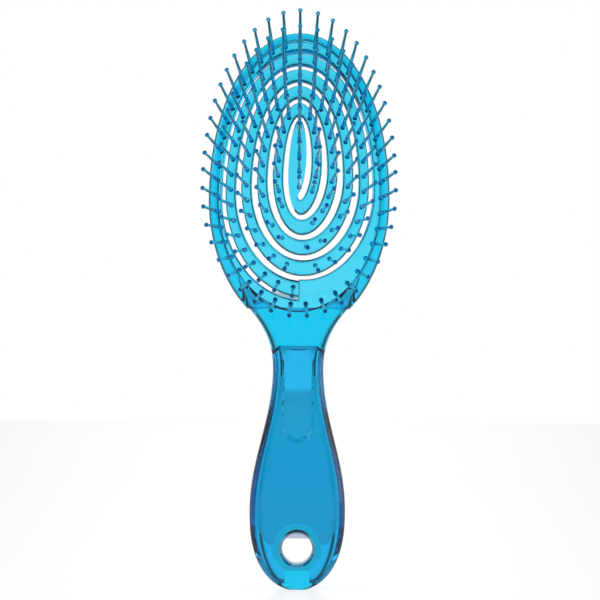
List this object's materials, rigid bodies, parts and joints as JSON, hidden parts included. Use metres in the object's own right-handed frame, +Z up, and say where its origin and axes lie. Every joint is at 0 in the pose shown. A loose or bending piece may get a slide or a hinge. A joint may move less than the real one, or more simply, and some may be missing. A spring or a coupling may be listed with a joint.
{
  "type": "detangling hairbrush",
  "caption": "Clear aqua detangling brush: a domed egg-shaped head cut into a springy spiral that carries ball-tipped pins, on a hollow waisted handle with a hang hole.",
  "frame": {"origin": "middle of the hang hole, on the handle's middle plane", "axes": "+Z up along the brush towards the head, -Y the way the pins point, +X across"},
  "size_m": [0.0792, 0.0503, 0.2389],
  "materials": {
    "aqua_plastic": "clear gloss"
  },
  "bodies": {
    "frame": {"head_frame": "aqua_plastic", "handle_front": "aqua_plastic", "handle_back": "aqua_plastic", "pins_rim": "aqua_plastic"},
    "turn_1": {"spiral_turn_1": "aqua_plastic", "pins_turn_1": "aqua_plastic"},
    "turn_2": {"spiral_turn_2": "aqua_plastic", "pins_turn_2": "aqua_plastic"},
    "turn_3": {"spiral_turn_3": "aqua_plastic", "pins_turn_3": "aqua_plastic"},
    "turn_4": {"spiral_turn_4": "aqua_plastic", "pins_turn_4": "aqua_plastic"},
    "centre": {"spiral_centre": "aqua_plastic", "pins_centre": "aqua_plastic"}
  },
  "joints": [
    {"name": "turn_1_press", "type": "slide", "parent": "frame", "child": "turn_1", "axis": [0, -0.9925, 0.1219], "range_m": [-0.0015, 0.0005], "stiffness_N_per_m": 2000},
    {"name": "turn_2_press", "type": "slide", "parent": "turn_1", "child": "turn_2", "axis": [0, -0.9925, 0.1219], "range_m": [-0.0015, 0.0005], "stiffness_N_per_m": 2000},
    {"name": "turn_3_press", "type": "slide", "parent": "turn_2", "child": "turn_3", "axis": [0, -0.9925, 0.1219], "range_m": [-0.0015, 0.0005], "stiffness_N_per_m": 2000},
    {"name": "turn_4_press", "type": "slide", "parent": "turn_3", "child": "turn_4", "axis": [0, -0.9925, 0.1219], "range_m": [-0.0015, 0.0005], "stiffness_N_per_m": 2000},
    {"name": "centre_press", "type": "slide", "parent": "turn_4", "child": "centre", "axis": [0, -0.9925, 0.1219], "range_m": [-0.0015, 0.0005], "stiffness_N_per_m": 2000}
  ]
}
